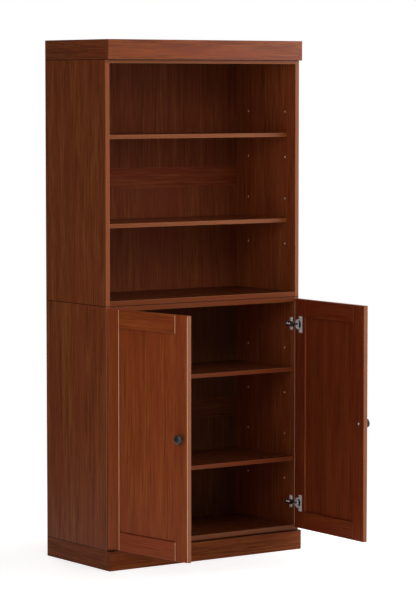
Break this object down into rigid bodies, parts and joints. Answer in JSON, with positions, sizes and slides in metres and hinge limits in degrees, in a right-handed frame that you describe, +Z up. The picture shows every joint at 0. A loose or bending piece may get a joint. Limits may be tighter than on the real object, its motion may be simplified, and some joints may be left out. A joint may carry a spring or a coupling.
{
  "type": "bookcase with cabinet doors",
  "caption": "Tall wooden bookcase with open shelves above and a cabinet with framed doors, inner shelves and concealed hinges below.",
  "frame": {"origin": "on the floor, under the middle of the carcass's width and depth (the doors, which stand open, are left out)", "axes": "+X to the right as seen from the front, +Y to the back, +Z up"},
  "size_m": [0.8266, 0.7886, 1.8],
  "materials": {
    "cherry_board": "satin laminate with fine straight grain, reddish brown",
    "door_cherry": "satin laminate with fine straight grain, reddish brown, rounded arrises",
    "back_hardboard": "printed hardboard with faint grain, slightly duller than the boards",
    "beech": "plain ribbed dowel",
    "pine_block": "plain sawn block",
    "nickel_steel": "bright nickel plate",
    "zinc_plated_steel": "zinc plate",
    "zinc_casting": "dull die casting",
    "black_knob": "smooth black, soft gloss"
  },
  "bodies": {
    "carcass": {"block_screws": "zinc_plated_steel", "cam_bolts": "zinc_plated_steel", "cam_locks": "zinc_casting", "cap_back": "cherry_board", "cap_corner_blocks": "pine_block", "cap_front": "cherry_board", "cap_left_end": "cherry_board", "cap_right_end": "cherry_board", "cap_top_board": "cherry_board", "hinge_arm_screws": "zinc_plated_steel", "hinge_arms": "nickel_steel", "hinge_plate_screws": "zinc_plated_steel", "hinge_plates": "nickel_steel", "lower_back_panel_high": "back_hardboard", "lower_back_panel_low": "back_hardboard", "lower_back_rail": "cherry_board", "lower_bottom_panel": "cherry_board", "lower_left_side": "cherry_board", "lower_right_side": "cherry_board", "lower_shelf_high": "cherry_board", "lower_shelf_low": "cherry_board", "lower_top_panel": "cherry_board", "plinth_back": "cherry_board", "plinth_corner_blocks": "pine_block", "plinth_front": "cherry_board", "plinth_left_end": "cherry_board", "plinth_right_end": "cherry_board", "shelf_pins": "zinc_plated_steel", "unit_screws": "zinc_plated_steel", "upper_back_panel_high": "back_hardboard", "upper_back_panel_low": "back_hardboard", "upper_back_rail": "cherry_board", "upper_bottom_panel": "cherry_board", "upper_left_side": "cherry_board", "upper_right_side": "cherry_board", "upper_shelf_high": "cherry_board", "upper_shelf_low": "cherry_board", "upper_top_panel": "cherry_board", "wood_dowels": "beech"},
    "left_door": {"left_cup_screws": "zinc_plated_steel", "left_door_bottom_rail": "door_cherry", "left_door_free_stile": "door_cherry", "left_door_hinge_stile": "door_cherry", "left_door_panel": "door_cherry", "left_door_top_rail": "door_cherry", "left_hinge_cups": "nickel_steel", "left_hinge_pins": "zinc_plated_steel", "left_knob": "black_knob", "left_knob_screw": "zinc_plated_steel"},
    "right_door": {"right_cup_screws": "zinc_plated_steel", "right_door_bottom_rail": "door_cherry", "right_door_free_stile": "door_cherry", "right_door_hinge_stile": "door_cherry", "right_door_panel": "door_cherry", "right_door_top_rail": "door_cherry", "right_hinge_cups": "nickel_steel", "right_hinge_pins": "zinc_plated_steel", "right_knob": "black_knob", "right_knob_screw": "zinc_plated_steel"}
  },
  "joints": [
    {"name": "left_door_hinge", "type": "hinge", "parent": "carcass", "child": "left_door", "pos_m": [-0.3965, -0.2025, 0.486], "axis": [0, 0, -1], "range_deg": [-82.5, 12.5]},
    {"name": "right_door_hinge", "type": "hinge", "parent": "carcass", "child": "right_door", "pos_m": [0.3965, -0.2025, 0.486], "axis": [0, 0, 1], "range_deg": [-88.8, 6.2]}
  ]
}
